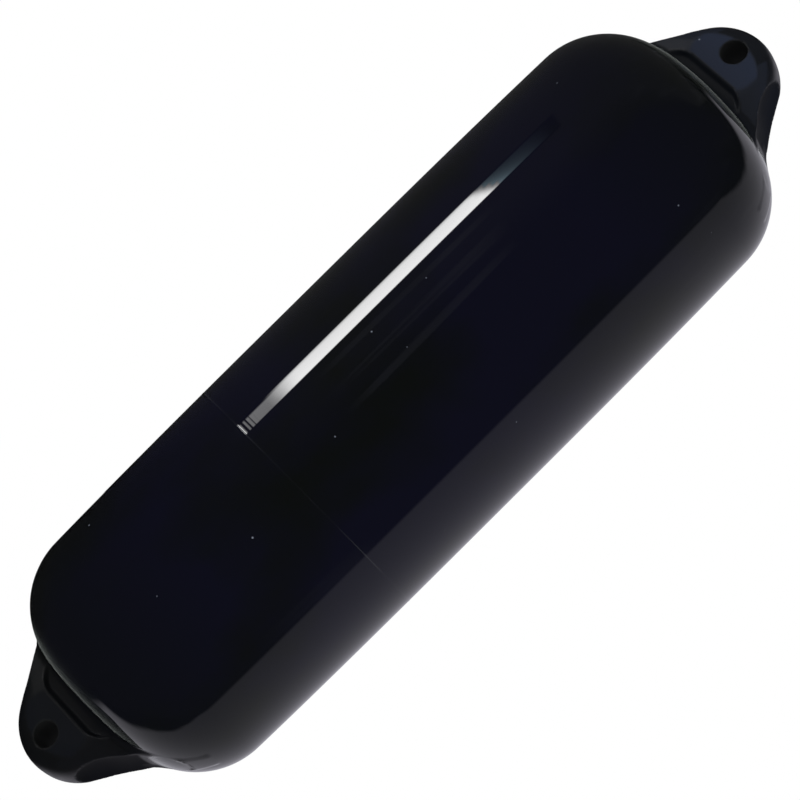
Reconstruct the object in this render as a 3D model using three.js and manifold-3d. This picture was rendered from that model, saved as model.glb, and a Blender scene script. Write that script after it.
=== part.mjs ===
// A double-eye pneumatic fender: a hollow body of soft vinyl with a moulded rope eye at each end,
// blown up through a screw valve beside the upper eye.
// Millimetres, +Z up along the fender, which hangs from its upper eye. The origin is the centre of
// that eye's rope hole, and the hole runs along Y.
import * as THREE from "three";
import { mergeVertices } from "three/addons/utils/BufferGeometryUtils.js";
import Module from "manifold-3d";

// Body: a long barrel between two domed ends.
const BODY_RADIUS = 75;
const BARREL_DROP = 1.3; // how much the barrel narrows from its middle to each shoulder
const SHOULDER_HEIGHT = 177.2; // from the middle of the body to where each shoulder begins
const SHOULDER_RADIUS = 46;
const SHOULDER_TURN = 84; // degrees that the shoulder arc turns before the dome takes over
const WALL = 3;

// Parting line of the mould, a fine bead round the barrel below its middle.
const PARTING_BELOW_MIDDLE = 69;
const PARTING_BEAD_HEIGHT = 0.25;
const PARTING_BEAD_WIDTH = 1.2;

// Rope eyes: each grows out of its dome with an oval section and ends in a round tip.
const EYE_TO_MIDDLE = 247; // rope hole's centre from the middle of the body
const HOLE_RADIUS = 6.9;
const HOLE_EDGE = 0.9; // bevel round each mouth of the rope hole
const TIP_BEYOND_HOLE = 16;
const TIP_RADIUS = 30.5; // of the eye's outline, seen along the rope hole
const FLANK_ANGLE = 36; // degrees between each straight flank and the fender's axis
const EYE_SINK = 14; // how far the eye's solid reaches down inside the dome, from its apex
const OVAL_POWER = 3.2; // 2 would make the section an ellipse
const OVAL_DEPTH = 15; // half the section's depth at the tip, before the flat faces are cut
const OVAL_GROWTH = 0.23; // gain in that half depth for each millimetre towards the body
const TIP_ROUND = 9; // length over which the tip rounds off, seen from the side
const FACE_HALF_THICKNESS = 16.8; // from the eye's middle plane to its flat faces, at the hole
const FACE_DRAFT = 4; // degrees that each face leans in towards the tip
const PAD_HALF_WIDTH = 20.7;
const BAND_SLOPE = 13; // degrees that the bands beside each pad fall away
const PAD_BELOW_HOLE = 16.4; // from the hole's centre to the pad's lower edge
const RECESS_DEPTH = 2.4; // of the sunk panel between the pad and the dome
const RECESS_SPREAD = 41; // degrees that the panel's sides open towards the dome
const SCOOP_LENGTH = 30; // half length of the hollow scooped in each flank
const SCOOP_HALF_WIDTH = 19;
const SCOOP_DEPTH = 7.5;
const SCOOP_BELOW_HOLE = 19; // from the hole's centre down to the scoop's middle

// Valve, on the dome behind the upper eye.
const VALVE_OFFSET = 35; // from the fender's axis, along +Y
const BOSS_RADIUS = 12;
const BOSS_PROUD = 1.2; // height of the boss's flat top over the dome at the valve's axis
const BOSS_LENGTH = 17;
const SEAT_FLANGE_RADIUS = 9;
const SEAT_FLANGE_THICKNESS = 1.8;
const SEAT_BARREL_RADIUS = 5.6;
const SEAT_COLLAR_RADIUS = 8;
const SEAT_COLLAR_THICKNESS = 2.2;
const SEAT_COLLAR_BELOW_FLANGE = 5;
const SEAT_LENGTH = 15;
const THREAD_RADIUS = 3; // pitch radius of the plug's thread
const RUNNING_CLEARANCE = 0.3; // between plug and seat
const MOULDED_GAP = 0.3; // between the seat and the vinyl round it
const SEAL_WIRE_RADIUS = 0.9;
const SEAL_SQUEEZE_GAP = 0.15; // left between the ring and the faces that it seals
const HEAD_RADIUS = 6.5;
const HEAD_THICKNESS = 2.8;
const HEAD_BEVEL = 0.6;
const SHANK_LENGTH = 10;
const SHANK_POINT = 1.5;
const SLOT_WIDTH = 1.6;
const SLOT_DEPTH = 1.5;

// Fineness of the facets.
const BODY_SIDES = 48;
const INSIDE_SIDES = 32;
const OUTSIDE_STEPS = { barrel: 5, shoulder: 11, dome: 3 };
const INSIDE_STEPS = { barrel: 2, shoulder: 6, dome: 2 };
const EYE_SIDES = 32;
const EYE_STEPS = 10;
const SCOOP_SIDES = 20;
const SMALL_SIDES = 24;
const OVERSIZE = 60; // reach of cutting blocks past what they cut

const rad = THREE.MathUtils.degToRad;
const wasm = await Module();
wasm.setup();

const navyVinyl = new THREE.MeshStandardMaterial({ color: 0x0e0f1a, roughness: 0.22, metalness: 0 });
const blackNylon = new THREE.MeshStandardMaterial({ color: 0x1b1c1f, roughness: 0.5, metalness: 0 });
const blackRubber = new THREE.MeshStandardMaterial({ color: 0x101011, roughness: 0.7, metalness: 0 });

// A closed geometry as a solid that can be joined and cut.
function solid(geometry) {
  const bare = new THREE.BufferGeometry();
  const source = geometry.index ? geometry.toNonIndexed() : geometry;
  bare.setAttribute("position", source.getAttribute("position"));
  const merged = mergeVertices(bare, 1e-4);
  return new wasm.Manifold(
    new wasm.Mesh({
      numProp: 3,
      vertProperties: merged.getAttribute("position").array,
      triVerts: new Uint32Array(merged.index.array),
    }),
  );
}

// A solid as a named mesh.
function piece(name, body, material) {
  const mesh = body.getMesh();
  const geometry = new THREE.BufferGeometry();
  const corners = new Float32Array(mesh.numVert * 3);
  for (let i = 0; i < mesh.numVert; i++) {
    corners.set(mesh.vertProperties.subarray(i * mesh.numProp, i * mesh.numProp + 3), i * 3);
  }
  geometry.setAttribute("position", new THREE.BufferAttribute(corners, 3));
  geometry.setIndex(new THREE.BufferAttribute(mesh.triVerts, 1));
  geometry.computeVertexNormals();
  const made = new THREE.Mesh(geometry, material);
  made.name = name;
  return made;
}

// A profile of [radius, height] pairs, from low to high, turned about the Z axis.
function turned(profile, sides) {
  const points = profile.map(([r, z]) => new THREE.Vector2(r, z));
  return new THREE.LatheGeometry(points, sides).rotateX(Math.PI / 2);
}

// An outline of [x, y] pairs raised along Z from zero to height.
function raised(outline, height) {
  const shape = new THREE.Shape(outline.map(([x, y]) => new THREE.Vector2(x, y)));
  return new THREE.ExtrudeGeometry(shape, { depth: height, bevelEnabled: false });
}

// The upper half of the body's outline as [radius, height], from its middle plane to its apex.
// An inset moves the whole outline inwards, which gives the inside of the wall.
const shoulderLean = Math.atan((3 * BARREL_DROP) / SHOULDER_HEIGHT);
const shoulderCentre = {
  r: BODY_RADIUS - BARREL_DROP - SHOULDER_RADIUS * Math.cos(shoulderLean),
  z: SHOULDER_HEIGHT - SHOULDER_RADIUS * Math.sin(shoulderLean),
};
const domeStart = shoulderLean + rad(SHOULDER_TURN);
const domeRadius = SHOULDER_RADIUS + shoulderCentre.r / Math.cos(domeStart);
const domeCentreHeight = shoulderCentre.z - (domeRadius - SHOULDER_RADIUS) * Math.sin(domeStart);
const bodyApex = domeCentreHeight + domeRadius;

function halfOutline(inset, steps) {
  const outline = [];
  for (let i = 0; i <= steps.barrel; i++) {
    const height = SHOULDER_HEIGHT * (i / steps.barrel);
    outline.push([barrelRadius(height) - inset, height]);
  }
  for (let i = 1; i <= steps.shoulder; i++) {
    const turn = shoulderLean + (rad(SHOULDER_TURN) * i) / steps.shoulder;
    const reach = SHOULDER_RADIUS - inset;
    outline.push([shoulderCentre.r + reach * Math.cos(turn), shoulderCentre.z + reach * Math.sin(turn)]);
  }
  for (let i = 1; i < steps.dome; i++) {
    const turn = domeStart + ((Math.PI / 2 - domeStart) * i) / steps.dome;
    const reach = domeRadius - inset;
    outline.push([reach * Math.cos(turn), domeCentreHeight + reach * Math.sin(turn)]);
  }
  outline.push([0, bodyApex - inset]);
  return outline;
}

function domeHeight(radius) {
  return domeCentreHeight + Math.sqrt(domeRadius ** 2 - radius ** 2);
}

function barrelRadius(height) {
  return BODY_RADIUS - BARREL_DROP * (Math.abs(height) / SHOULDER_HEIGHT) ** 3;
}

// The whole outline, from the lower apex to the upper one.
function wholeOutline(inset, steps) {
  const upper = halfOutline(inset, steps);
  const lower = upper.slice(1).map(([r, z]) => [r, -z]);
  return [...lower.reverse(), ...upper];
}

// The outer outline carries the parting bead.
function outerOutline() {
  const outline = wholeOutline(0, OUTSIDE_STEPS);
  const bead = [-1, 0, 1].map((side) => {
    const z = -PARTING_BELOW_MIDDLE + (side * PARTING_BEAD_WIDTH) / 2;
    return [barrelRadius(z) + (side === 0 ? PARTING_BEAD_HEIGHT : 0), z];
  });
  const after = outline.findIndex(([, z]) => z > -PARTING_BELOW_MIDDLE);
  outline.splice(after, 0, ...bead);
  return outline;
}

// Half width of the eye's outline at a height above the middle of the body.
const eyeTip = EYE_TO_MIDDLE + TIP_BEYOND_HOLE;
const eyeRoot = bodyApex - EYE_SINK;

function eyeHalfWidth(z) {
  const flank = rad(FLANK_ANGLE);
  const centre = eyeTip - TIP_RADIUS;
  const tangent = centre + TIP_RADIUS * Math.sin(flank);
  if (z > tangent) return Math.sqrt(Math.max(TIP_RADIUS ** 2 - (z - centre) ** 2, 0));
  return TIP_RADIUS * Math.cos(flank) + (tangent - z) * Math.tan(flank);
}

// Half depth of the oval section there.
function eyeHalfDepth(z) {
  const below = eyeTip - z;
  const rounding = below < TIP_ROUND ? Math.sqrt(1 - (1 - below / TIP_ROUND) ** 2) : 1;
  return (OVAL_DEPTH + OVAL_GROWTH * below) * rounding;
}

// Half thickness between the flat faces there.
function faceHalfThickness(z) {
  return FACE_HALF_THICKNESS + (EYE_TO_MIDDLE - z) * Math.tan(rad(FACE_DRAFT));
}

// The oval blank of an eye: a unit column whose rings are set to the section at each height.
function eyeBlank() {
  const column = [[0, 0], [1, 0]];
  for (let i = 1; i < EYE_STEPS; i++) {
    column.push([1, Math.sin((Math.PI / 2) * (i / EYE_STEPS))]);
  }
  column.push([0, 1]);
  const blank = turned(column, EYE_SIDES);
  const corner = blank.getAttribute("position");
  for (let i = 0; i < corner.count; i++) {
    const reach = Math.hypot(corner.getX(i), corner.getY(i));
    const angle = Math.atan2(corner.getY(i), corner.getX(i));
    const z = eyeRoot + (eyeTip - eyeRoot) * corner.getZ(i);
    const x = Math.sign(Math.cos(angle)) * Math.abs(Math.cos(angle)) ** (2 / OVAL_POWER);
    const y = Math.sign(Math.sin(angle)) * Math.abs(Math.sin(angle)) ** (2 / OVAL_POWER);
    corner.setXYZ(i, x * reach * eyeHalfWidth(z), y * reach * eyeHalfDepth(z), z);
  }
  return solid(blank);
}

// What the two flat pads and the sloping bands beside them leave of the blank.
function eyeFaces() {
  const ridge = PAD_HALF_WIDTH + FACE_HALF_THICKNESS / Math.tan(rad(BAND_SLOPE));
  const outline = [
    [PAD_HALF_WIDTH, 1],
    [ridge, 0],
    [PAD_HALF_WIDTH, -1],
    [-PAD_HALF_WIDTH, -1],
    [-ridge, 0],
    [-PAD_HALF_WIDTH, 1],
  ].reverse();
  const block = raised(outline, eyeTip - eyeRoot + 2).translate(0, 0, eyeRoot - 1);
  const corner = block.getAttribute("position");
  for (let i = 0; i < corner.count; i++) {
    corner.setY(i, corner.getY(i) * faceHalfThickness(corner.getZ(i)));
  }
  return solid(block);
}

// The sunk panel below one pad. The side is -1 for the front face, +1 for the back.
function eyeRecess(side) {
  const top = EYE_TO_MIDDLE - PAD_BELOW_HOLE;
  const height = top - eyeRoot + 1;
  const spread = height * Math.tan(rad(RECESS_SPREAD));
  const outline = [
    [-PAD_HALF_WIDTH, 0],
    [-PAD_HALF_WIDTH - spread, -height],
    [PAD_HALF_WIDTH + spread, -height],
    [PAD_HALF_WIDTH, 0],
  ];
  const floor = faceHalfThickness(top) - RECESS_DEPTH;
  const block = raised(outline, OVERSIZE).rotateX(Math.PI / 2).translate(0, -floor, top);
  return solid(side < 0 ? block : block.rotateZ(Math.PI));
}

// The leaf-shaped hollow scooped in one flank. The side is -1 for -X, +1 for +X.
function eyeScoop(side) {
  const z = EYE_TO_MIDDLE - SCOOP_BELOW_HOLE;
  const scoop = new THREE.SphereGeometry(1, SCOOP_SIDES, SCOOP_SIDES / 2)
    .scale(SCOOP_DEPTH, SCOOP_HALF_WIDTH, SCOOP_LENGTH)
    .rotateY(-rad(FLANK_ANGLE))
    .translate(eyeHalfWidth(z), 0, z);
  return solid(side > 0 ? scoop : scoop.rotateZ(Math.PI));
}

// The rope hole with its bevelled mouths, along Y through the eye.
function ropeHole() {
  const mouth = faceHalfThickness(EYE_TO_MIDDLE);
  const half = [
    [HOLE_RADIUS, mouth - HOLE_EDGE],
    [HOLE_RADIUS + HOLE_EDGE + 2, mouth + 2],
    [0, mouth + 2],
  ];
  const profile = [...half.map(([r, z]) => [r, -z]).reverse(), ...half];
  return solid(turned(profile, SMALL_SIDES).rotateX(Math.PI / 2).translate(0, 0, EYE_TO_MIDDLE));
}

// One whole eye, at the upper end.
function eye() {
  let body = eyeBlank().intersect(eyeFaces());
  for (const side of [-1, 1]) {
    body = body.subtract(eyeRecess(side)).subtract(eyeScoop(side));
  }
  return body.subtract(ropeHole());
}

// Heights of the valve, above the middle of the body.
const bossTop = domeHeight(VALVE_OFFSET) + BOSS_PROUD;
const flangeTop = bossTop - MOULDED_GAP;
const flangeUnderside = flangeTop - SEAT_FLANGE_THICKNESS;
const collarTop = flangeUnderside - SEAT_COLLAR_BELOW_FLANGE;
const collarUnderside = collarTop - SEAT_COLLAR_THICKNESS;
const seatEnd = flangeTop - SEAT_LENGTH;
const bossEnd = bossTop - BOSS_LENGTH;

// The seat's outer form. The space that the vinyl leaves round it is the same form, grown by a gap
// and run on past both of its ends.
function seatBlank(gap, runOn) {
  const barrel = SEAT_BARREL_RADIUS + gap;
  const collar = SEAT_COLLAR_RADIUS + gap;
  const flange = SEAT_FLANGE_RADIUS + gap;
  return [
    [0, seatEnd - runOn],
    [barrel, seatEnd - runOn],
    [barrel, collarUnderside - gap],
    [collar, collarUnderside - gap],
    [collar, collarTop + gap],
    [barrel, collarTop + gap],
    [barrel, flangeUnderside - gap],
    [flange, flangeUnderside - gap],
    [flange, flangeTop + runOn],
    [0, flangeTop + runOn],
  ];
}

// The ring's groove in the seat's top face.
const sealHeight = flangeTop - SEAL_WIRE_RADIUS - SEAL_SQUEEZE_GAP;
const sealRadius = THREAD_RADIUS + RUNNING_CLEARANCE + SEAL_WIRE_RADIUS;
const grooveRadius = sealRadius + SEAL_WIRE_RADIUS + RUNNING_CLEARANCE;
const grooveFloor = sealHeight - SEAL_WIRE_RADIUS - SEAL_SQUEEZE_GAP;

function fenderShell() {
  let body = solid(turned(outerOutline(), BODY_SIDES));
  const upperEye = eye();
  body = body.add(upperEye).add(upperEye.rotate([180, 0, 0]));
  const boss = solid(
    turned([[0, bossEnd], [BOSS_RADIUS, bossEnd], [BOSS_RADIUS, bossTop], [0, bossTop]], SMALL_SIDES)
      .translate(0, VALVE_OFFSET, 0),
  );
  const inside = solid(turned(wholeOutline(WALL, INSIDE_STEPS), INSIDE_SIDES));
  body = body.add(boss).subtract(inside.subtract(boss));
  const valveWay = solid(turned(seatBlank(MOULDED_GAP, BOSS_LENGTH), SMALL_SIDES).translate(0, VALVE_OFFSET, 0));
  return piece("fender_shell", body.subtract(valveWay), navyVinyl);
}

function valveSeat() {
  const bore = solid(
    turned(
      [
        [0, seatEnd - 1],
        [THREAD_RADIUS + RUNNING_CLEARANCE, seatEnd - 1],
        [THREAD_RADIUS + RUNNING_CLEARANCE, grooveFloor],
        [grooveRadius, grooveFloor],
        [grooveRadius, flangeTop + 1],
        [0, flangeTop + 1],
      ],
      SMALL_SIDES,
    ),
  );
  const seat = piece("valve_seat", solid(turned(seatBlank(0, 0), SMALL_SIDES)).subtract(bore), blackNylon);
  seat.position.y = VALVE_OFFSET;
  return seat;
}

function plugSeal() {
  const wire = [];
  const steps = 12;
  for (let i = 0; i <= steps; i++) {
    const turn = -Math.PI / 2 + (2 * Math.PI * i) / steps;
    wire.push([sealRadius + SEAL_WIRE_RADIUS * Math.cos(turn), SEAL_WIRE_RADIUS * Math.sin(turn)]);
  }
  const seal = new THREE.Mesh(turned(wire, SMALL_SIDES), blackRubber);
  seal.name = "plug_seal";
  seal.position.set(0, VALVE_OFFSET, sealHeight);
  return seal;
}

// The plug is drawn with its head's underside at zero height.
function valvePlug() {
  const profile = [
    [0, -SHANK_LENGTH],
    [THREAD_RADIUS - SHANK_POINT, -SHANK_LENGTH],
    [THREAD_RADIUS, SHANK_POINT - SHANK_LENGTH],
    [THREAD_RADIUS, 0],
    [HEAD_RADIUS, 0],
    [HEAD_RADIUS, HEAD_THICKNESS - HEAD_BEVEL],
    [HEAD_RADIUS - HEAD_BEVEL, HEAD_THICKNESS],
    [0, HEAD_THICKNESS],
  ];
  const slot = new THREE.BoxGeometry(OVERSIZE, SLOT_WIDTH, 2 * SLOT_DEPTH).translate(0, 0, HEAD_THICKNESS);
  const plug = piece(
    "valve_plug",
    solid(turned(profile, SMALL_SIDES)).subtract(solid(slot)),
    blackNylon,
  );
  plug.position.set(0, VALVE_OFFSET, flangeTop + RUNNING_CLEARANCE);
  return plug;
}

const fender = new THREE.Group();
fender.add(fenderShell(), valveSeat(), plugSeal(), valvePlug());
fender.position.z = -EYE_TO_MIDDLE;

const hung = new THREE.Group();
hung.add(fender);

export default hung;
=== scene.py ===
# %% [markdown]
# # A pneumatic fender
# A fender is the soft buffer that hangs between a boat and a quay. This one is a hollow vinyl
# body full of air, moulded in one piece with a rope eye at each end. A small screw valve sits
# behind the upper eye.
#
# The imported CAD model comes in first, and nothing moves it afterwards. All that follows is in
# its frame: metres, the origin in the middle of the upper rope hole, +Z up along the fender,
# and both rope holes along Y.

# %% Load the frame
import math

import bpy
import numpy as np
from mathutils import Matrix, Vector


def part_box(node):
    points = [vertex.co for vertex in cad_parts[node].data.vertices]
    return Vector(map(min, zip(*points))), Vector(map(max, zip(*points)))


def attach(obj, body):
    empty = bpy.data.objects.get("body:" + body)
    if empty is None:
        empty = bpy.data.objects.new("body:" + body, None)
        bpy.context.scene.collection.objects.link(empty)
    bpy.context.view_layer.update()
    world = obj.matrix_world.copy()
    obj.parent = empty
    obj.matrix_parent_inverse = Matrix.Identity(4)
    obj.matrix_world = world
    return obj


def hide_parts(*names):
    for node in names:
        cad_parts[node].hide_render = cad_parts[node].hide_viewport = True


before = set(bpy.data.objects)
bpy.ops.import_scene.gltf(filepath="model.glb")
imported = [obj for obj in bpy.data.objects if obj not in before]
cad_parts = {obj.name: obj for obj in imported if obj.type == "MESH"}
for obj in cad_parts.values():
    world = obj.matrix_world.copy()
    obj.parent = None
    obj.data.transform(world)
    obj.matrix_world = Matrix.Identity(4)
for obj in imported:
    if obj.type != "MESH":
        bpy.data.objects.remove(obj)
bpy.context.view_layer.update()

shell_low, shell_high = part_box("fender_shell")
MIDDLE = (shell_low.z + shell_high.z) / 2
print("middle of the body at z", round(MIDDLE, 4), "m, nodes", sorted(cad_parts))

# %% [markdown]
# ## One way to draw every piece
# Soft mouldings have no crisp edges: an eye flows into its dome, and a cut has a rounded lip.
# Bevels and subdivision could do it, but where five curved faces meet they pinch. So each piece
# here is a formula instead, which gives the distance from any point to its surface, negative
# inside. Two formulas join or cut each other with a fillet of a chosen radius, and at the end
# one helper turns the formula into a mesh.
#
# The formulas count in millimetres, as a mould maker would, from the middle of the body.

# %% Join and cut with a fillet
MM = 0.001


def joined(a, b, fillet):
    corner = np.hypot(np.maximum(fillet - a, 0), np.maximum(fillet - b, 0))
    return np.maximum(fillet, np.minimum(a, b)) - corner


def common(a, b, round_off):
    corner = np.hypot(np.maximum(round_off + a, 0), np.maximum(round_off + b, 0))
    return np.minimum(-round_off, np.maximum(a, b)) + corner


def cut(a, b, round_off):
    return common(a, -b, round_off)


# %% A smooth step from 0 to 1
def between(value, low, high):
    share = np.clip((value - low) / (high - low), 0, 1)
    return share * share * (3 - 2 * share)


# %% [markdown]
# ## From distance to mesh
# The helper lays a grid of lines through the space and keeps each cell that the surface passes
# through. Such a cell gets one vertex, and each grid edge that crosses the surface gets one
# quad between its four cells. The vertices then slide along the slope of the distance until
# they lie on the true surface. That slope is also the surface's exact normal, so even a coarse
# mesh reflects like a smooth moulding, which a glossy black piece needs.

# %% Grid lines that are close only where the shape is fine
def lines(start, *stretches):
    found = [start]
    for end, step in stretches:
        count = max(1, round((end - found[-1]) / step))
        found.extend(np.linspace(found[-1], end, count + 1)[1:])
    return np.array(found)


# %% Quads round the crossed grid edges
def net(form, axes):
    grid = np.stack(np.meshgrid(*axes, indexing="ij"), axis=-1)
    field = form(grid.reshape(-1, 3)).reshape(grid.shape[:3])
    cells = np.array(field.shape) - 1
    crossed, cell_of, quads = [], [], []
    for axis in range(3):
        near, far = np.delete(field, -1, axis), np.delete(field, 0, axis)
        edge = np.argwhere((near < 0) != (far < 0))
        a, b = near[tuple(edge.T)], far[tuple(edge.T)]
        point = np.stack([axes[k][edge[:, k]] for k in range(3)], axis=1)
        reach = axes[axis][edge[:, axis] + 1] - axes[axis][edge[:, axis]]
        point[:, axis] += reach * a / (a - b)
        round_edge = []
        for back_u, back_v in ((0, 0), (1, 0), (1, 1), (0, 1)):
            cell = edge.copy()
            cell[:, (axis + 1) % 3] -= back_u
            cell[:, (axis + 2) % 3] -= back_v
            round_edge.append(np.ravel_multi_index(cell.T, cells))
            crossed.append(point)
            cell_of.append(round_edge[-1])
        quad = np.stack(round_edge, axis=1)
        quads.append(np.where((a > 0)[:, None], quad[:, ::-1], quad))
    used, place = np.unique(np.concatenate(cell_of), return_inverse=True)
    crossed = np.concatenate(crossed)
    share = np.bincount(place)
    corners = np.stack([np.bincount(place, crossed[:, k]) / share for k in range(3)], axis=1)
    return corners, np.searchsorted(used, np.concatenate(quads))


# %% Slope of a distance
SLOPE_STEP = 0.005


def slope(form, points):
    change = [form(points + side) - form(points - side) for side in np.eye(3) * SLOPE_STEP]
    return np.stack(change, axis=1) / (2 * SLOPE_STEP)


# %% A formula becomes a piece
SETTLING_ROUNDS = 5


def piece_from(name, form, axes, middle_z):
    corners, quads = net(form, axes)
    for _ in range(SETTLING_ROUNDS):
        rise = slope(form, corners)
        steepness = np.maximum((rise**2).sum(axis=1), 0.2)
        corners = corners - rise * (form(corners) / steepness)[:, None]
    rise = slope(form, corners)
    normals = rise / np.maximum(np.linalg.norm(rise, axis=1, keepdims=True), 1e-9)
    mesh = bpy.data.meshes.new(name)
    placed = corners * MM + np.array([0, 0, middle_z])
    mesh.from_pydata(placed.tolist(), [], quads.tolist())
    mesh.polygons.foreach_set("use_smooth", [True] * len(quads))
    mesh.normals_split_custom_set_from_vertices(normals.tolist())
    piece = bpy.data.objects.new(name, mesh)
    bpy.context.scene.collection.objects.link(piece)
    print(name, "has", 2 * len(quads), "triangles")
    return piece, corners


# %% [markdown]
# ## The body
# The long body came off a mould as a barrel that narrows by a hair towards each end, a round
# shoulder, and an end so shallow that it is nearly flat. Each of the three has a plain distance
# formula of its own, and they meet without a kink because they share their tangents. Soft vinyl
# shrinks a little unevenly, so the lower end is a touch shorter than the upper one.
#
# The mould opens in two halves, and the vinyl crept a little into the gap between them. It
# left a fine bead round the body, with faint rings above it where the skin chilled first.

# %% Barrel, shoulder and flat end
BODY_RADIUS = 75
BARREL_DROP = 1.3
SHOULDER_HEIGHT = 177.2
SHOULDER_RADIUS = 46
SHOULDER_TURN = math.radians(84)
LOWER_END_SHORT = 1.2
LOWER_END_STARTS = 140
LOWER_END_FULL = 190

shoulder_lean = math.atan(3 * BARREL_DROP / SHOULDER_HEIGHT)
dome_start = shoulder_lean + SHOULDER_TURN
shoulder_out = BODY_RADIUS - BARREL_DROP - SHOULDER_RADIUS * math.cos(shoulder_lean)
shoulder_up = SHOULDER_HEIGHT - SHOULDER_RADIUS * math.sin(shoulder_lean)
dome_radius = SHOULDER_RADIUS + shoulder_out / math.cos(dome_start)
dome_up = shoulder_up - (dome_radius - SHOULDER_RADIUS) * math.sin(dome_start)
print("the body is", round(2 * (dome_up + dome_radius), 1), "mm long without its eyes")

# %% The parting line and its rings
PARTING_HEIGHT = -69
PARTING_BEAD = 0.1
PARTING_BEAD_SPREAD = 0.4
RING_HEIGHT = 0.002
RING_PITCH = 2.4
RINGS_REACH = 12


def parting_relief(z):
    above = z - PARTING_HEIGHT
    bead = PARTING_BEAD * np.exp(-((above / PARTING_BEAD_SPREAD) ** 2))
    fade = np.exp(-((above / RINGS_REACH) ** 2)) * (above > 0)
    return bead + RING_HEIGHT * fade * np.sin(2 * math.pi * above / RING_PITCH)


# %% The whole body
def body_distance(out, z):
    up = np.abs(z) + LOWER_END_SHORT * between(-z, LOWER_END_STARTS, LOWER_END_FULL)
    radius = BODY_RADIUS - BARREL_DROP * (up / SHOULDER_HEIGHT) ** 3
    barrel = (out - radius - parting_relief(z)) * math.cos(shoulder_lean)
    shoulder = np.hypot(out - shoulder_out, up - shoulder_up) - SHOULDER_RADIUS
    dome = np.hypot(out, up - dome_up) - dome_radius
    turn = np.arctan2(up - shoulder_up, out - shoulder_out)
    return np.where(turn < shoulder_lean, barrel, np.where(turn < dome_start, shoulder, dome))


# %% [markdown]
# ## The rope eyes
# Each eye is a thick lug with a round tip and straight flanks, plump at the edges, and it
# flares a little where it grows out of the body. Both faces are pressed flat round the rope
# hole, a panel is sunk below each flat, and a leaf-shaped hollow is scooped out of each flank,
# which keeps the wall even so that it cools without shrinking. A mesh of such a lug would need
# many patient bevels. Here the eye is built the way it was designed: a plump blank, flattened,
# then cut.

# %% The plump blank
EYE_TO_MIDDLE = 247
TIP_RADIUS = 30.5
TIP_HEIGHT = EYE_TO_MIDDLE + 16
FLANK_ANGLE = math.radians(36)
OVAL_POWER = 3.2
OVAL_DEPTH = 15
OVAL_GROWTH = 0.23
FLARE = 2.3
FLARE_TOP = 239
FLARE_FOOT = 222


def flare(up):
    return FLARE * between(FLARE_TOP - up, 0, FLARE_TOP - FLARE_FOOT)


def eye_outline(across, up):
    rise = up - (TIP_HEIGHT - TIP_RADIUS)
    tip = np.hypot(across, rise) - TIP_RADIUS
    flank = across * math.cos(FLANK_ANGLE) + rise * math.sin(FLANK_ANGLE) - TIP_RADIUS - flare(up)
    on_tip = rise * math.cos(FLANK_ANGLE) > across * math.sin(FLANK_ANGLE)
    return np.where(on_tip, tip, flank)


def blank_form(points):
    across, deep, up = points.T
    edge = np.maximum(1 + eye_outline(across, up) / TIP_RADIUS, 0)
    depth = OVAL_DEPTH + OVAL_GROWTH * np.maximum(TIP_HEIGHT - up, 0)
    plump = edge**OVAL_POWER + (deep / depth) ** OVAL_POWER
    return plump ** (1 / OVAL_POWER) - 1


def eye_blank(across, deep, up):
    points = np.stack([across, deep, up], axis=1)
    form = blank_form(points)
    steepness = [blank_form(points + side) - form for side in np.eye(3) * SLOPE_STEP]
    return form / np.maximum(np.linalg.norm(steepness, axis=0) / SLOPE_STEP, 0.01)


# %% The flat faces and the bands beside them
FACE_HALF_THICKNESS = 16.8
FACE_DRAFT = math.radians(4)
PAD_HALF_WIDTH = 20.7
BAND_SLOPE = math.radians(13)
PAD_EDGE_ROUND = 0.8


def eye_faces(across, deep, up):
    face = FACE_HALF_THICKNESS + (EYE_TO_MIDDLE - up) * math.tan(FACE_DRAFT)
    fall = math.tan(BAND_SLOPE) / FACE_HALF_THICKNESS * (across - PAD_HALF_WIDTH)
    pad = (deep - face) * math.cos(FACE_DRAFT)
    band = (deep - face * (1 - fall)) * math.cos(BAND_SLOPE)
    return common(pad, band, PAD_EDGE_ROUND)


# %% The sunk panel below each flat
PAD_BELOW_HOLE = 16.4
RECESS_DEPTH = 2.2
RECESS_SPREAD = math.radians(41)
RECESS_ROUND = 2
RECESS_LIP = 2.2
RECESS_CORNER = 4


def eye_recess(across, deep, up):
    over = up - (EYE_TO_MIDDLE - PAD_BELOW_HOLE)
    side = across - PAD_HALF_WIDTH + over * math.tan(RECESS_SPREAD)
    floor = FACE_HALF_THICKNESS + PAD_BELOW_HOLE * math.tan(FACE_DRAFT) - RECESS_DEPTH
    panel = common(over, side * math.cos(RECESS_SPREAD), RECESS_CORNER)
    return common(panel, floor - deep, RECESS_ROUND)


# %% The leaf-shaped hollow in each flank
SCOOP_BELOW_HOLE = 19
SCOOP_DEPTH = 7.5
SCOOP_HALF_WIDTH = 19
SCOOP_LENGTH = 30


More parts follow.
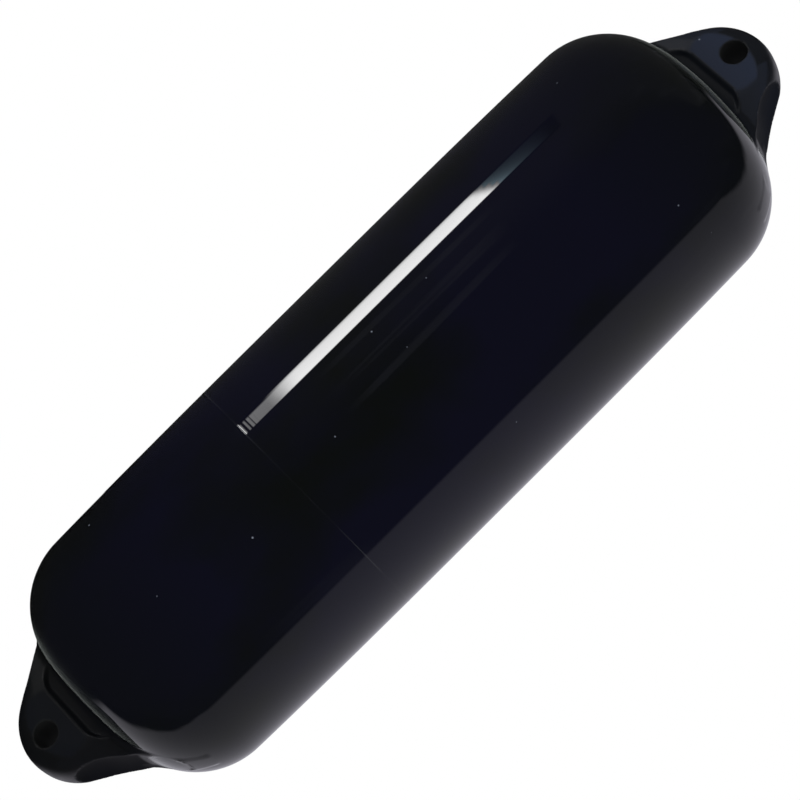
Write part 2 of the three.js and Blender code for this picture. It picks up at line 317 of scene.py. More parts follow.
def eye_scoop(across, deep, up):
    rise = up - (EYE_TO_MIDDLE - SCOOP_BELOW_HOLE)
    tangent_rise = TIP_HEIGHT - TIP_RADIUS + TIP_RADIUS * math.sin(FLANK_ANGLE) - (up - rise)
    half_width = TIP_RADIUS * math.cos(FLANK_ANGLE) + tangent_rise * math.tan(FLANK_ANGLE)
    half_width = half_width + flare(up) / math.cos(FLANK_ANGLE)
    into = (across - half_width) * math.cos(FLANK_ANGLE) + rise * math.sin(FLANK_ANGLE)
    along = rise * math.cos(FLANK_ANGLE) - (across - half_width) * math.sin(FLANK_ANGLE)
    sizes = (SCOOP_DEPTH, SCOOP_HALF_WIDTH, SCOOP_LENGTH)
    scaled = [part / size for part, size in zip((into, deep, along), sizes)]
    reach = np.linalg.norm(scaled, axis=0)
    steepness = np.linalg.norm([part / size for part, size in zip(scaled, sizes)], axis=0)
    return reach * (reach - 1) / steepness


# %% One whole eye, with its rope hole
HOLE_RADIUS = 6.9
HOLE_EDGE = 1.1
RIM_ROUND = 2
SCOOP_EDGE = 1.2


def eye_distance(points):
    across, deep, up = np.abs(points).T
    eye = common(eye_blank(across, deep, up), eye_faces(across, deep, up), RIM_ROUND)
    eye = cut(eye, eye_recess(across, deep, up), RECESS_LIP)
    eye = cut(eye, eye_scoop(across, deep, up), SCOOP_EDGE)
    return cut(eye, np.hypot(across, up - EYE_TO_MIDDLE) - HOLE_RADIUS, HOLE_EDGE)


# %% [markdown]
# ## The valve's boss
# Behind the upper eye the wall thickens into a low round boss, with a well for the valve's
# seat. Its places come from the CAD seat, so the two can't drift apart.

# %% Boss and well
seat_low, seat_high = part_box("valve_seat")
valve_y = (seat_low.y + seat_high.y) / 2 / MM
seat_top = (seat_high.z - MIDDLE) / MM
BOSS_RADIUS = 12
BOSS_EDGE = 0.8
SEAT_GAP = 0.3
SEAT_FLANGE_RADIUS = 9
SEAT_FLANGE_THICKNESS = 1.8
SEAT_BARREL_RADIUS = 5.6
SEAT_LENGTH = 15


def boss_distance(points):
    x, y, z = points.T
    return common(np.hypot(x, y - valve_y) - BOSS_RADIUS, z - seat_top - SEAT_GAP, BOSS_EDGE)


def well_distance(points):
    x, y, z = points.T
    out = np.hypot(x, y - valve_y)
    deep = seat_top - z
    wide = np.maximum(out - SEAT_FLANGE_RADIUS - SEAT_GAP, deep - SEAT_FLANGE_THICKNESS - SEAT_GAP)
    narrow = np.maximum(out - SEAT_BARREL_RADIUS - SEAT_GAP, deep - SEAT_LENGTH - SEAT_GAP)
    return np.minimum(wide, narrow)


# %% The whole skin
ROOT_FILLET = 3.5
BOSS_FILLET = 1.5
WELL_EDGE = 0.3
EYE_ZONE = 195


def skin_distance(points):
    skin = body_distance(np.hypot(points[:, 0], points[:, 1]), points[:, 2])
    ends = np.abs(points[:, 2]) > EYE_ZONE
    skin[ends] = joined(skin[ends], eye_distance(points[ends]), ROOT_FILLET)
    top = points[:, 2] > EYE_ZONE
    whole = joined(skin[top], boss_distance(points[top]), BOSS_FILLET)
    skin[top] = cut(whole, well_distance(points[top]), WELL_EDGE)
    return skin


# %% Mesh the skin
BODY_LINES = 2.3
EYE_LINES = 1.1
side_lines = lines(
    -BODY_RADIUS - 2, (-50, BODY_LINES), (50, EYE_LINES), (BODY_RADIUS + 2, BODY_LINES)
)
depth_lines = lines(
    -BODY_RADIUS - 2, (-26, BODY_LINES), (26, EYE_LINES), (48, 1.3), (BODY_RADIUS + 2, BODY_LINES)
)
height_lines = lines(
    -TIP_HEIGHT - 2,
    (-214, EYE_LINES),
    (-SHOULDER_HEIGHT, 1.9),
    (PARTING_HEIGHT - 2, 8),
    (PARTING_HEIGHT + 2, 0.25),
    (PARTING_HEIGHT + 20, 0.8),
    (SHOULDER_HEIGHT, 8),
    (214, 1.9),
    (TIP_HEIGHT + 2, EYE_LINES),
)
shell, shell_points = piece_from(
    "fender_skin", skin_distance, (side_lines, depth_lines, height_lines), MIDDLE
)
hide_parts("fender_shell")
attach(shell, "fender")

# %% [markdown]
# ## The valve
# A slotted nylon screw shuts a threaded nylon seat, with a rubber ring between them. The same
# distance tools draw them. The screw's thread is a radius that rises and falls once for each
# pitch of height, and turns with the angle round the axis.

# %% Turned forms about the valve's axis
plug_low, plug_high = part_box("valve_plug")
ring_low, ring_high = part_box("plug_seal")
THREAD_PITCH = 1.5
THREAD_DEPTH = 0.35
THREAD_RADIUS = 3


def thread_ripple(points):
    turn = np.arctan2(points[:, 1] - valve_y, points[:, 0]) / (2 * math.pi)
    phase = points[:, 2] / THREAD_PITCH - turn
    return THREAD_DEPTH * (0.5 - np.abs(2 * (phase - np.floor(phase)) - 1))


def disc(points, radius, bottom, top, edge):
    out = np.hypot(points[:, 0], points[:, 1] - valve_y)
    ends = np.maximum(bottom - points[:, 2], points[:, 2] - top)
    return common(out - radius, ends, edge)


# %% The screw plug
plug_bottom = (plug_low.z - MIDDLE) / MM
plug_top = (plug_high.z - MIDDLE) / MM
HEAD_RADIUS = 6.5
HEAD_THICKNESS = 2.8
HEAD_EDGE = 0.7
SHANK_POINT = 1.5
SLOT_WIDTH = 1.6
SLOT_DEPTH = 1.5
EDGE = 0.15


def plug_distance(points):
    x, y, z = points.T
    head = disc(points, HEAD_RADIUS, plug_top - HEAD_THICKNESS, plug_top, HEAD_EDGE)
    slot = np.maximum(np.abs(y - valve_y) - SLOT_WIDTH / 2, plug_top - SLOT_DEPTH - z)
    head = cut(head, slot, EDGE)
    taper = np.maximum(plug_bottom + SHANK_POINT - z, 0)
    out = np.hypot(x, y - valve_y) - thread_ripple(points) / 2 + taper
    shank = np.maximum(out - THREAD_RADIUS + THREAD_DEPTH / 4, plug_bottom - z) * 0.8
    shank = np.maximum(shank, z - plug_top + HEAD_THICKNESS / 2)
    return joined(head, shank, EDGE)


FINE_LINES = 0.2
plug, _ = piece_from(
    "screw_plug",
    plug_distance,
    (
        lines(-7, (7, FINE_LINES)),
        lines(valve_y - 7, (valve_y + 7, FINE_LINES)),
        lines(plug_bottom - 0.5, (plug_top + 0.5, FINE_LINES)),
    ),
    MIDDLE,
)
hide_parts("valve_plug")
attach(plug, "plug")

# %% The seat
ring_middle = ((ring_low.z + ring_high.z) / 2 - MIDDLE) / MM
RING_WIRE = 0.9
RING_GAP = 0.15
ring_radius = (ring_high.x - ring_low.x) / 2 / MM - RING_WIRE
BORE_CLEARANCE = 0.3
COLLAR_RADIUS = 8
COLLAR_TOP = 6.8
COLLAR_THICKNESS = 2.2


def seat_distance(points):
    seat = disc(points, SEAT_FLANGE_RADIUS, seat_top - SEAT_FLANGE_THICKNESS, seat_top, 0.4)
    barrel = disc(points, SEAT_BARREL_RADIUS, seat_top - SEAT_LENGTH, seat_top - 1, EDGE)
    collar_bottom = seat_top - COLLAR_TOP - COLLAR_THICKNESS
    collar = disc(points, COLLAR_RADIUS, collar_bottom, seat_top - COLLAR_TOP, EDGE)
    seat = joined(joined(seat, barrel, EDGE), collar, EDGE)
    out = np.hypot(points[:, 0], points[:, 1] - valve_y)
    bore = (out - THREAD_RADIUS - BORE_CLEARANCE - thread_ripple(points) / 2) * 0.8
    groove_floor = ring_middle - RING_WIRE - RING_GAP
    groove_wall = out - ring_radius - RING_WIRE - BORE_CLEARANCE
    groove = np.maximum(groove_wall, groove_floor - points[:, 2])
    return cut(cut(seat, bore, 0.05), groove, EDGE)


seat, _ = piece_from(
    "threaded_seat",
    seat_distance,
    (
        lines(-9.6, (9.6, 0.24)),
        lines(valve_y - 9.6, (valve_y + 9.6, 0.24)),
        lines(seat_top - SEAT_LENGTH - 0.5, (seat_top + 0.5, 0.22)),
    ),
    MIDDLE,
)
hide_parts("valve_seat")
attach(seat, "fender")


# %% The rubber ring
def ring_distance(points):
    out = np.hypot(points[:, 0], points[:, 1] - valve_y) - ring_radius
    return np.hypot(out, points[:, 2] - ring_middle) - RING_WIRE


ring, _ = piece_from(
    "rubber_ring",
    ring_distance,
    (
        lines(-5.6, (5.6, FINE_LINES)),
        lines(valve_y - 5.6, (valve_y + 5.6, FINE_LINES)),
        lines(ring_middle - 1.3, (ring_middle + 1.3, FINE_LINES)),
    ),
    MIDDLE,
)
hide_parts("plug_seal")
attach(ring, "seal")

# %% [markdown]
# ## Where the finish changes
# The whole shell is one vinyl, so one material covers it. What tells its regions apart is how
# the mould was finished: polished for the body, sandblasted for the eyes, rougher still for the
# flats round the rope holes, and raw in the deep hollows. Painting masks by hand would work,
# but the formulas that drew the shape know exactly where each region is. Each region gets a
# share from 0 to 1 on every vertex. Two colour attributes hold three shares each.

# %% Eyes, flats and rope holes
EYE_FROM = 205
FLAT_MIDDLE = 244
FLAT_HALF_WIDTH = 21.5
FLAT_HALF_HEIGHT = 14.5
FLAT_CORNER = 9


def rounded_box(x, y, half_x, half_y, corner):
    out_x = np.abs(x) - half_x + corner
    out_y = np.abs(y) - half_y + corner
    outside = np.hypot(np.maximum(out_x, 0), np.maximum(out_y, 0))
    return outside + np.minimum(np.maximum(out_x, out_y), 0) - corner


across, deep, up = np.abs(shell_points).T
out = np.hypot(across, deep)
off_body = body_distance(out, shell_points[:, 2])
at_end = up > EYE_FROM
eye_share = between(off_body, 0.02, 0.6) * at_end
over_face = deep - FACE_HALF_THICKNESS - (EYE_TO_MIDDLE - up) * math.tan(FACE_DRAFT)
flat_form = rounded_box(across, up - FLAT_MIDDLE, FLAT_HALF_WIDTH, FLAT_HALF_HEIGHT, FLAT_CORNER)
flat_share = between(-flat_form, -2.5, 3) * between(over_face, -1.6, -0.8)
from_hole = np.hypot(across, up - EYE_TO_MIDDLE) - HOLE_RADIUS
hole_share = between(1 - from_hole, 0, 0.9)

# %% Hollows, panels and the ends of the body
LIP_DEPTH = 15.5
BAND_FROM = 15
BAND_FLATNESS = 0.5
EYE_FLATNESS = 0.2
RIM_FROM = 58
RIM_SPREAD = 15

scoop_share = between(0.8 - np.abs(eye_scoop(across, deep, up)), 0, 0.5) * eye_share
scoop_share = scoop_share * between(LIP_DEPTH - deep, 0, 2)
near_panel = between(2.4 - eye_recess(across, deep, up), 0, 0.8)
near_root = between(5 - off_body, 0, 1.5) * (deep > 8)
panel_share = np.maximum(near_panel, near_root) * eye_share
band_share = BAND_FLATNESS * between(over_face, -6, -3.5) * (across > BAND_FROM)
band_share = band_share * (1 - panel_share) * (1 - scoop_share)
flat_share = flat_share * (1 - panel_share)
flat_share = np.maximum(flat_share, np.maximum(band_share, EYE_FLATNESS) * eye_share)
rim_share = between(RIM_FROM - out, 0, RIM_SPREAD) * at_end * (1 - eye_share)

# %% Store the shares on the vertices
shares = {
    "finish": (eye_share, flat_share, hole_share),
    "extras": (scoop_share, panel_share, rim_share),
}
for name, parts in shares.items():
    stored = np.stack([*parts, np.ones(len(up))], axis=1)
    attribute = shell.data.attributes.new(name, "FLOAT_COLOR", "POINT")
    attribute.data.foreach_set("color", stored.astype(np.float32).ravel())
    print(name, "mean shares", [round(float(part.mean()), 3) for part in parts])

# %% [markdown]
# ## Small helpers for nodes
# A material is a net of nodes, and wiring them one by one hides what the net says. These
# helpers take a number, a colour or another node's output alike, so that each line below can
# read as a sentence. All noise runs on object coordinates, because vinyl's clouds and grain
# belong to the piece and not to the view.

# %% Wire a value or a socket into a node
def feed(tree, value, socket):
    if isinstance(value, bpy.types.NodeSocket):
        tree.links.new(value, socket)
    else:
        socket.default_value = value


def add(tree, kind, settings=None, **inputs):
    node = tree.nodes.new(kind)
    for name, value in (settings or {}).items():
        setattr(node, name, value)
    for name, value in inputs.items():
        feed(tree, value, node.inputs[name.replace("_", " ")])
    return node


def new_material(name):
    material = bpy.data.materials.new(name)
    material.use_nodes = True
    tree = material.node_tree
    return material, tree, tree.nodes["Principled BSDF"]


# %% Stretch, blend and multiply
def remap(tree, value, low, high, to_low, to_high):
    node = add(tree, "ShaderNodeMapRange", Value=value)
    for socket, number in zip(node.inputs[1:5], (low, high, to_low, to_high)):
        socket.default_value = number
    return node.outputs["Result"]


def blended(tree, share, a, b):
    node = add(tree, "ShaderNodeMix", {"data_type": "FLOAT"})
    for value, place in ((share, 0), (a, 2), (b, 3)):
        feed(tree, value, node.inputs[place])
    return node.outputs[0]


def mixed(tree, share, a, b):
    node = add(tree, "ShaderNodeMix", {"data_type": "RGBA"})
    for value, place in ((share, 0), (a, 6), (b, 7)):
        feed(tree, value, node.inputs[place])
    return node.outputs[2]


def multiplied(tree, a, b):
    node = add(tree, "ShaderNodeMath", {"operation": "MULTIPLY"})
    feed(tree, a, node.inputs[0])
    feed(tree, b, node.inputs[1])
    return node.outputs[0]


# %% Noise on the piece itself
def place_on(tree):
    return add(tree, "ShaderNodeTexCoord").outputs["Object"]


def stretched_noise(tree, stretch, scale, detail):
    mapped = add(tree, "ShaderNodeMapping", Vector=place_on(tree), Scale=stretch).outputs["Vector"]
    noise = add(tree, "ShaderNodeTexNoise", Vector=mapped, Scale=scale, Detail=detail)
    return noise.outputs["Fac"]


def even_noise(tree, scale, detail):
    return stretched_noise(tree, (1, 1, 1), scale, detail)


# %% [markdown]
# ## The vinyl's colour
# The vinyl is one navy, so dark that it reads as black. Its pigment isn't quite even: soft
# clouds of a neutral soot run through the navy and take over towards the ends. A pale colour
# is painted on the flats and bands of the eyes. A little of it is their paler satin tone, and
# the much stronger share on the upper eye is painted light that makes it lighter than the lower.

# %% Navy, soot, and a pale tone with painted light on the eyes
NAVY = (0.0043, 0.0044, 0.0102, 1)
SOOT = (0.0037, 0.0043, 0.0042, 1)
# A pale colour for the eyes: partly their satin tone, mostly painted light.
PALE_TONE_AND_PAINTED_LIGHT = (0.017, 0.023, 0.042, 1)
HOLE_DUST = (0.013, 0.014, 0.014, 1)
SOOT_FROM = 0.13
SOOT_FULL = 0.2

vinyl, tree, shader = new_material("navy_vinyl")
stored = add(tree, "ShaderNodeAttribute", {"attribute_name": "finish"}).outputs["Color"]
eye, flat, hole = add(tree, "ShaderNodeSeparateColor", Color=stored).outputs[:3]
stored = add(tree, "ShaderNodeAttribute", {"attribute_name": "extras"}).outputs["Color"]
scoop, panel, rim = add(tree, "ShaderNodeSeparateColor", Color=stored).outputs[:3]
height = add(tree, "ShaderNodeSeparateXYZ", Vector=place_on(tree)).outputs["Z"]

clouds = remap(tree, stretched_noise(tree, (1, 1, 0.6), 11, 5), 0.44, 0.6, 0, 1)
colour = mixed(tree, clouds, NAVY, SOOT)
for side in (1, -1):
    starts, ends = MIDDLE + side * SOOT_FROM, MIDDLE + side * SOOT_FULL
    colour = mixed(tree, remap(tree, height, starts, ends, 0, 0.6), colour, SOOT)
# Painted light: the pale colour covers the eyes' flats and bands fully on the upper eye and at
# about an eighth on the lower one, so that the upper eye looks more brightly lit.
upper = remap(tree, height, MIDDLE, 0, 0.12, 1)
colour = mixed(tree, multiplied(tree, flat, upper), colour, PALE_TONE_AND_PAINTED_LIGHT)

# %% [markdown]
# ## Marks of use
# A fender that has hung against a quay has fine scuffs along its length, a few specks of dust
# and dirt in the rope holes. The parting line is worn pale in places. Noise stretched along
# the height makes the scuffs, and a wider noise keeps them to a few patches. For the specks, a
# cell pattern gives each cell a lot, and only the few that draw a high one hold a speck.

# %% Scuffs
SCUFF = (0.020, 0.021, 0.026, 1)
SCUFF_STRENGTH = 0.22

off_eye = remap(tree, eye, 0, 0.1, 1, 0)
scuffs = remap(tree, stretched_noise(tree, (1, 1, 0.02), 160, 2), 0.6, 0.68, 0, SCUFF_STRENGTH)
patches = remap(tree, even_noise(tree, 9, 1), 0.47, 0.6, 0, 1)
scuffs = multiplied(tree, multiplied(tree, scuffs, patches), off_eye)
colour = mixed(tree, scuffs, colour, SCUFF)

# %% Specks of dust and dirt in the holes
DUST = (0.16, 0.18, 0.22, 1)
CELLS_TO_THE_METRE = 160
HIGH_LOT = 0.975

cells = add(tree, "ShaderNodeTexVoronoi", Scale=CELLS_TO_THE_METRE, Vector=place_on(tree)).outputs
lot = add(tree, "ShaderNodeSeparateColor", Color=cells["Color"]).outputs["Red"]
chosen = remap(tree, lot, HIGH_LOT - 0.001, HIGH_LOT + 0.001, 0, 1)
speck = multiplied(tree, chosen, remap(tree, cells["Distance"], 0.05, 0.1, 1, 0))
colour = mixed(tree, speck, colour, DUST)
colour = mixed(tree, hole, colour, HOLE_DUST)

# %% The worn parting line
LINE_HALF_WIDTH = 0.0003

line = add(tree, "ShaderNodeMath", {"operation": "COMPARE"})
for value, socket in zip((height, MIDDLE + PARTING_HEIGHT * MM, LINE_HALF_WIDTH), line.inputs):
    feed(tree, value, socket)
worn = remap(tree, even_noise(tree, 30, 2), 0.4, 0.6, 0.1, 0.8)
colour = mixed(tree, multiplied(tree, line.outputs[0], worn), colour, SCUFF)
feed(tree, colour, shader.inputs["Base Color"])

# %% [markdown]
# ## The vinyl's gloss
# The body reflects like a mirror with a breath of haze. The eyes are satin with a fine grain,
# which is too small to model, so it is a bump. The flats, hollows and panels scatter the light
# that would glint on them, so their specular level falls too. Close to each eye the ends of
# the body carry a thin film that only shows at a grazing angle, and sheen is made for that.

# %% Roughness from body to hollow
BODY_GLOSS = 0.02
EYE_GLOSS = 0.34
EYE_GLOSS_SPREAD = 0.05
FLAT_GLOSS = 0.5
SCOOP_GLOSS = 0.6
PANEL_GLOSS = 0.5
HOLE_GLOSS = 0.9

haze = even_noise(tree, 14, 4)
roughness = remap(tree, haze, 0.3, 0.75, BODY_GLOSS * 0.7, BODY_GLOSS * 1.6)
grain = even_noise(tree, 260, 3)
gloss_low, gloss_high = EYE_GLOSS - EYE_GLOSS_SPREAD, EYE_GLOSS + EYE_GLOSS_SPREAD
roughness = blended(tree, eye, roughness, remap(tree, grain, 0.3, 0.7, gloss_low, gloss_high))
regions = ((flat, FLAT_GLOSS), (scoop, SCOOP_GLOSS), (panel, PANEL_GLOSS), (hole, HOLE_GLOSS))
for share, gloss in regions:
    roughness = blended(tree, share, roughness, gloss)
feed(tree, roughness, shader.inputs["Roughness"])

# %% How much each region reflects
specular = 0.5
for share, level in ((flat, 0.1), (scoop, 0.05), (panel, 0.12), (hole, 0.1)):
    specular = blended(tree, share, specular, level)
feed(tree, specular, shader.inputs["Specular IOR Level"])
shader.inputs["IOR"].default_value = 1.5

# %% Film at the ends of the body, and grain on the eyes
FILM = 0.24
FILM_TINT = (0.92, 1, 0.95, 1)

feed(tree, blended(tree, rim, 0.0, FILM), shader.inputs["Sheen Weight"])
shader.inputs["Sheen Roughness"].default_value = 0.25
shader.inputs["Sheen Tint"].default_value = FILM_TINT
strength = blended(tree, eye, 0.0, 0.25)
fine_grain = even_noise(tree, 1100, 2)
bump = add(tree, "ShaderNodeBump", Strength=strength, Distance=0.0002, Height=fine_grain)
feed(tree, bump.outputs["Normal"], shader.inputs["Normal"])
shell.data.materials.append(vinyl)
print("the vinyl has", len(tree.nodes), "nodes")

# %% [markdown]
# ## Nylon and rubber
# Screw and seat are moulded from black nylon, which comes out of its mould satin with a fine
# grain. The ring is plain matt rubber. Both need no more than one noise for the gloss.

# %% Nylon
nylon, tree, shader = new_material("black_nylon")
shader.inputs["Base Color"].default_value = (0.020, 0.021, 0.024, 1)
nylon_grain = even_noise(tree, 900, 3)
feed(tree, remap(tree, nylon_grain, 0.3, 0.7, 0.38, 0.55), shader.inputs["Roughness"])
bump = add(tree, "ShaderNodeBump", Strength=0.2, Distance=0.0001, Height=nylon_grain)
feed(tree, bump.outputs["Normal"], shader.inputs["Normal"])
plug.data.materials.append(nylon)
seat.data.materials.append(nylon)

# %% Rubber
rubber, tree, shader = new_material("black_rubber")
shader.inputs["Base Color"].default_value = (0.012, 0.012, 0.012, 1)
rubber_grain = even_noise(tree, 1500, 2)
feed(tree, remap(tree, rubber_grain, 0.3, 0.7, 0.6, 0.8), shader.inputs["Roughness"])
ring.data.materials.append(rubber)

# %% [markdown]
# ## Camera
# The fender was photographed lying across the frame, a little from its right and a touch from
# below its middle. The camera looks at the middle of the body, and is rolled so that the
# fender's long axis runs up to the right. A long lens from nearly two metres keeps both ends
# the same size. The camera then steps aside by a millimetre, as the photograph's crop does.

# %% Camera
AZIMUTH = math.radians(28)
ELEVATION = math.radians(-2.7)
DISTANCE = 1.862
LEAN = math.radians(45.24)
LENS = 163.2
AIM_RIGHT = -0.00072
AIM_UP = 0.0012

aim = Vector((0, 0, MIDDLE))
right = Vector((math.cos(AZIMUTH), math.sin(AZIMUTH), 0))
back = Vector((math.sin(AZIMUTH), -math.cos(AZIMUTH), math.tan(ELEVATION))).normalized()
up = back.cross(right)
camera = bpy.data.objects.new("camera", bpy.data.cameras.new("camera"))
bpy.context.scene.collection.objects.link(camera)
camera.data.lens = LENS
rolled_right = math.sin(LEAN) * up + math.cos(LEAN) * right
rolled_up = math.cos(LEAN) * up - math.sin(LEAN) * right
camera.matrix_world.col[0].xyz = rolled_right
camera.matrix_world.col[1].xyz = rolled_up
camera.matrix_world.col[2].xyz = back
camera.matrix_world.translation = (
    aim + rolled_right * AIM_RIGHT + rolled_up * AIM_UP + back * DISTANCE
)
bpy.context.scene.camera = camera
print("camera at", [round(v, 3) for v in camera.matrix_world.translation])

# %% [markdown]
# ## Room and floor
# A product photograph has a plain white ground. The room here is white at a strength of 1, so
# that a colour shows about as it is written, and the fender hangs well above a pale floor that
# still takes its shadow. The floor is quite matt, because a shiny one would mirror the fender.

# %% White room and floor
world = bpy.data.worlds.new("white_room")
bpy.context.scene.world = world
world.use_nodes = True
world.node_tree.nodes["Background"].inputs["Color"].default_value = (1, 1, 1, 1)
bpy.context.scene.view_settings.view_transform = "Standard"

FLOOR_BELOW_TIP = 2.6
FLOOR_REACH = 60

floor_at = (0, 0, shell_low.z - FLOOR_BELOW_TIP)
bpy.ops.mesh.primitive_plane_add(size=2 * FLOOR_REACH, location=floor_at)
floor = bpy.context.object
floor.name = "floor"
pale, tree, shader = new_material("pale_floor")
shader.inputs["Base Color"].default_value = (1, 1, 1, 1)
shader.inputs["Specular IOR Level"].default_value = 0
shader.inputs["Roughness"].default_value = 1
floor.data.materials.append(pale)

# %% [markdown]
# ## Cards for the gloss
# A black gloss piece is drawn by what it reflects. In a white room it would turn grey, so a
# studio hangs cards round it: a black flag where nothing should show, a sweep of pale paper for
# the band along one edge, and a long lamp for the streak. Only reflections see these cards, so
# they change neither the ground nor the shadow.
#
# Each card is a patch of a large sphere round the fender, given by its turn from the camera's
# side and its rise above the horizon, in degrees. A glow stored on each vertex lets one card
# fade smoothly, and cells can be left out to open a window in it.

# %% Corners and cells of a card
front = Vector((back.x, back.y, 0)).normalized()


def patch(turns, rises, step, distance):
    turn, rise = np.meshgrid(
        lines(turns[0], (turns[1], step)), lines(rises[0], (rises[1], step)), indexing="ij"
    )
    aside, tilt = np.radians(turn)[..., None], np.radians(rise)[..., None]
    level = np.sin(aside) * np.array(right) + np.cos(aside) * np.array(front)
    way = level * np.cos(tilt) + np.array([0, 0, 1]) * np.sin(tilt)
    corners = (np.array(aim) + way * distance).reshape(-1, 3)
    number = np.arange(len(corners)).reshape(turn.shape)
    cells = (number[:-1, :-1], number[:-1, 1:], number[1:, 1:], number[1:, :-1])
    return turn, rise, corners, np.stack(cells, axis=-1)


# %% A card's light
def glowing(name, tint):
    material = bpy.data.materials.new(name)
    material.use_nodes = True
    tree = material.node_tree
    tree.nodes.clear()
    value = add(tree, "ShaderNodeAttribute", {"attribute_name": "glow"}).outputs["Fac"]
    light = add(tree, "ShaderNodeEmission", Color=tint, Strength=value)
    add(tree, "ShaderNodeOutputMaterial", Surface=light.outputs["Emission"])
    return material


# %% Hang a card
def card(name, turns, rises, step, distance, glow_at, kept=None, tint=(1, 1, 1, 1)):
    turn, rise, corners, quads = patch(turns, rises, step, distance)
    if kept is not None:
        quads = quads[kept(turn[:-1, :-1], rise[:-1, :-1])]
    mesh = bpy.data.meshes.new(name)
    mesh.from_pydata(corners.tolist(), [], quads.reshape(-1, 4).tolist())
    glow = glow_at(turn, rise).ravel().astype(np.float32)
    mesh.attributes.new("glow", "FLOAT", "POINT").data.foreach_set("value", glow)
    mesh.materials.append(glowing(name, tint))
    made = bpy.data.objects.new(name, mesh)
    bpy.context.scene.collection.objects.link(made)
    made.visible_camera = False
    made.visible_diffuse = False
    made.visible_shadow = False
    made.visible_transmission = False
    print(name, "glows from", round(float(glow.min()), 3), "to", round(float(glow.max()), 3))


# %% [markdown]
# ## The black flag
# It wraps the whole fender, a shade lighter on the upper left. Behind the fender a low window
# is left open in it. The body's edges reflect the white room through that window, and that is
# what parts a black edge from the ground.

# %% The dark side of the room, open behind the fender
FLAG_GLOW = 0.006
FLAG_LIGHTER = 0.035
WINDOW_FROM = 176
WINDOW_HALF_HEIGHT = 11
SIDE_WINDOW_TO = -168
SIDE_WINDOW_BOTTOM = -12
SIDE_WINDOW_TOP = -5


def flag_glow(turn, rise):
    return FLAG_GLOW + FLAG_LIGHTER * between(rise, -6, 4) * between(-turn, 20, 60)


def outside_window(turn, rise):
    behind = (np.abs(rise) < WINDOW_HALF_HEIGHT) & (turn > WINDOW_FROM)
    beside = (rise > SIDE_WINDOW_BOTTOM) & (rise < SIDE_WINDOW_TOP) & (turn < SIDE_WINDOW_TO)
    return ~(behind | beside)


card("dark_room", (-180, 180), (-90, 90), 1, 2.45, flag_glow, outside_window)

# %% [markdown]
# ## The paper sweep
# The pale band along the right edge ends in rounded corners on both shoulders, so the paper
# that it mirrors has rounded corners too. Its upper and lower edges are given at a few turns,
# and the glow fades over a few degrees at each.

# %% The pale sweep of paper on the right
TOP_EDGE = ([66, 69, 76, 84, 88, 100, 124, 150], [16, 25, 35, 42, 45, 52, 59, 60])
BOTTOM_EDGE = ([66, 69, 76, 84, 92, 108, 124], [-18, -28, -42, -50, -58, -66, -68])
EDGE_BLUR = 7
EDGE_OUT = 3
SWEEP_FROM = 66
SWEEP_GLOW = 0.30
SWEEP_GROWTH = 0.25
SWEEP_TINT = (0.97, 0.95, 1.06, 1)
GAP_FROM = 177
GAP_HALF_HEIGHT = 32


def sweep_edges(turn, rise):
    above = between(np.interp(turn, *TOP_EDGE) + EDGE_OUT - rise, 0, EDGE_BLUR)
    below = between(rise - np.interp(turn, *BOTTOM_EDGE) + EDGE_OUT, 0, EDGE_BLUR)
    return above * below * between(turn, SWEEP_FROM, SWEEP_FROM + 3)


def sweep_gap(turn, rise):
    gap = between(np.abs(rise) - GAP_HALF_HEIGHT + 60 * between(GAP_FROM - turn, 0, 1), 0, 1)
    return gap * between(GAP_FROM + 8 - turn, 0, 13)


def sweep_glow(turn, rise):
    glow = SWEEP_GLOW + SWEEP_GROWTH * np.clip(turn - 75, -9, 90) / 90
    return glow * sweep_edges(turn, rise) * sweep_gap(turn, rise)


def beside_window(turn, rise):
    return (turn < GAP_FROM) | (np.abs(rise) > GAP_HALF_HEIGHT - 1)


card("paper_sweep", (66, 198), (-78, 66), 1, 2.4, sweep_glow, beside_window, SWEEP_TINT)

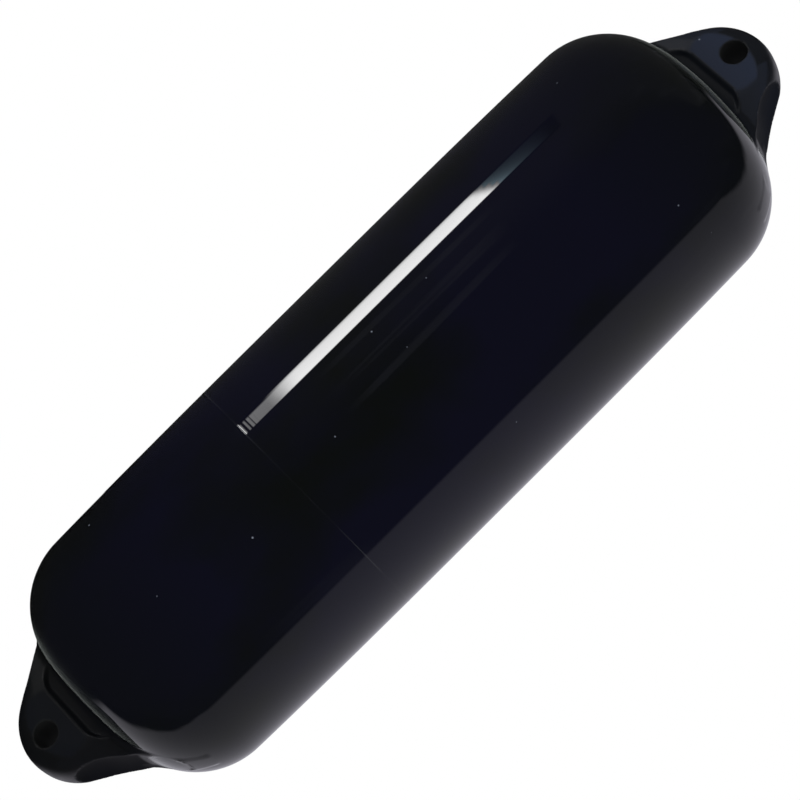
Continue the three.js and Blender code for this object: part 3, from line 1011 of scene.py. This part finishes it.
# %% [markdown]
# ## The long lamp
# The streak is a long lamp, seen in the barrel. It is a little brighter along its right side,
# dim for a hand's breadth above the parting line, and its upper end is cut at a slant. Past
# that end the streak trails off bluish, as if daylight came in beside the lamp. That light is a
# card of its own, because a card has one tint.

# %% Where the lamp lies
LAMP_LEFT = -83.5
LAMP_RIGHT = -69.9
LAMP_WIDTH = LAMP_RIGHT - LAMP_LEFT
LAMP_BOTTOM = -1.15
END_AT_LEFT = 8.5
END_SLANT = 0.8


def lamp_share(turn):
    return (turn - LAMP_LEFT) / LAMP_WIDTH


def lamp_end(turn):
    return END_AT_LEFT + END_SLANT * lamp_share(turn)


def lamp_right_edge(turn):
    return between(LAMP_RIGHT - turn, 0, 1)


# %% The trail of daylight past its end
TRAIL_TINT = (0.72, 1.04, 1.2, 1)
TRAIL_TOP = 12.3
TRAIL_FADE = 0.45


def trail_glow(turn, rise):
    share = np.clip(lamp_share(turn), 0, 1)
    past = np.maximum(rise - lamp_end(turn), 0)
    near = (1.8 + 2.1 * share) * np.exp(-past / TRAIL_FADE)
    far = 0.45 * (0.35 + 0.65 * share) * between(TRAIL_TOP - rise, 0, 2.6)
    return (near + far) * between(turn, LAMP_LEFT, LAMP_LEFT + 1.5) * lamp_right_edge(turn)


# %% The lamp itself
START_GLOW = 3
LAMP_GLOW = 11.5
LAMP_GROWTH = 4.5


def lamp_glow(turn, rise):
    start = START_GLOW * between(rise, LAMP_BOTTOM, LAMP_BOTTOM + 0.15) * between(turn, -82, -80)
    main = (LAMP_GLOW + LAMP_GROWTH * np.clip(lamp_share(turn), 0, 1)) * between(rise, -0.3, 1)
    main = main * between(turn, LAMP_LEFT, LAMP_LEFT + 1.5)
    glow = (start + main) * between(lamp_end(turn) + 0.35 - rise, 0, 0.7) * lamp_right_edge(turn)
    return np.maximum(glow, trail_glow(turn, rise) * (rise > 7))


def before_end(turn, rise):
    return rise < lamp_end(turn) + 0.2


card("soft_box", (-84, -69), (-1.5, 10.5), 0.25, 2.3, lamp_glow, before_end)
card("soft_box_trail", (-84, -69), (8, 12.5), 0.25, 2.31, trail_glow, tint=TRAIL_TINT)
